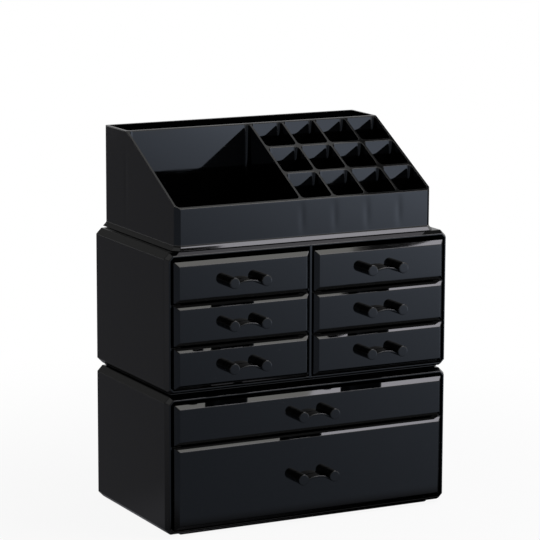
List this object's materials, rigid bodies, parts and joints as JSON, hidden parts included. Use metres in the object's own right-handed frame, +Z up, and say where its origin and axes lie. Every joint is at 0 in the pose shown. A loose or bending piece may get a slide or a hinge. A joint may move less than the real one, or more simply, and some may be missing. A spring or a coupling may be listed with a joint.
{
  "type": "stacking makeup organizer with drawers",
  "caption": "Stack of glossy moulded cases with sliding drawers on arched pulls, topped by an open tray with a sloping rim, a grid of lipstick cells, a wide compartment and a tall rear row.",
  "frame": {"origin": "middle of the base, on the surface that the organizer stands on", "axes": "+X to the right seen from the front, +Y to the back, +Z up; the drawers open towards -Y"},
  "size_m": [0.24, 0.153, 0.2955],
  "materials": {
    "case_black": "high-gloss moulded, mirror-like reflections",
    "drawer_black": "high-gloss moulded, mirror-like reflections",
    "handle_black": "high-gloss moulded, mirror-like reflections",
    "tray_black": "high-gloss moulded, mirror-like reflections"
  },
  "bodies": {
    "bottom_case": {"bottom_case": "case_black"},
    "middle_case": {"middle_case": "case_black", "column_divider": "case_black"},
    "top_tray": {"top_tray": "tray_black"},
    "deep_drawer": {"deep_drawer": "drawer_black", "deep_handle": "handle_black"},
    "shallow_drawer": {"shallow_drawer": "drawer_black", "shallow_handle": "handle_black"},
    "left_bottom_drawer": {"left_bottom_drawer": "drawer_black", "left_bottom_handle": "handle_black"},
    "left_middle_drawer": {"left_middle_drawer": "drawer_black", "left_middle_handle": "handle_black"},
    "left_top_drawer": {"left_top_drawer": "drawer_black", "left_top_handle": "handle_black"},
    "right_bottom_drawer": {"right_bottom_drawer": "drawer_black", "right_bottom_handle": "handle_black"},
    "right_middle_drawer": {"right_middle_drawer": "drawer_black", "right_middle_handle": "handle_black"},
    "right_top_drawer": {"right_top_drawer": "drawer_black", "right_top_handle": "handle_black"}
  },
  "joints": [
    {"name": "middle_case_lift", "type": "slide", "parent": "bottom_case", "child": "middle_case", "axis": [0, 0, 1], "range_m": [0, 0.05]},
    {"name": "top_tray_lift", "type": "slide", "parent": "middle_case", "child": "top_tray", "axis": [0, 0, 1], "range_m": [0, 0.05]},
    {"name": "deep_drawer_slide", "type": "slide", "parent": "bottom_case", "child": "deep_drawer", "axis": [0, -1, 0], "range_m": [0, 0.1]},
    {"name": "shallow_drawer_slide", "type": "slide", "parent": "bottom_case", "child": "shallow_drawer", "axis": [0, -1, 0], "range_m": [0, 0.1]},
    {"name": "left_bottom_drawer_slide", "type": "slide", "parent": "middle_case", "child": "left_bottom_drawer", "axis": [0, -1, 0], "range_m": [0, 0.1]},
    {"name": "left_middle_drawer_slide", "type": "slide", "parent": "middle_case", "child": "left_middle_drawer", "axis": [0, -1, 0], "range_m": [0, 0.1]},
    {"name": "left_top_drawer_slide", "type": "slide", "parent": "middle_case", "child": "left_top_drawer", "axis": [0, -1, 0], "range_m": [0, 0.1]},
    {"name": "right_bottom_drawer_slide", "type": "slide", "parent": "middle_case", "child": "right_bottom_drawer", "axis": [0, -1, 0], "range_m": [0, 0.1]},
    {"name": "right_middle_drawer_slide", "type": "slide", "parent": "middle_case", "child": "right_middle_drawer", "axis": [0, -1, 0], "range_m": [0, 0.1]},
    {"name": "right_top_drawer_slide", "type": "slide", "parent": "middle_case", "child": "right_top_drawer", "axis": [0, -1, 0], "range_m": [0, 0.1]}
  ]
}
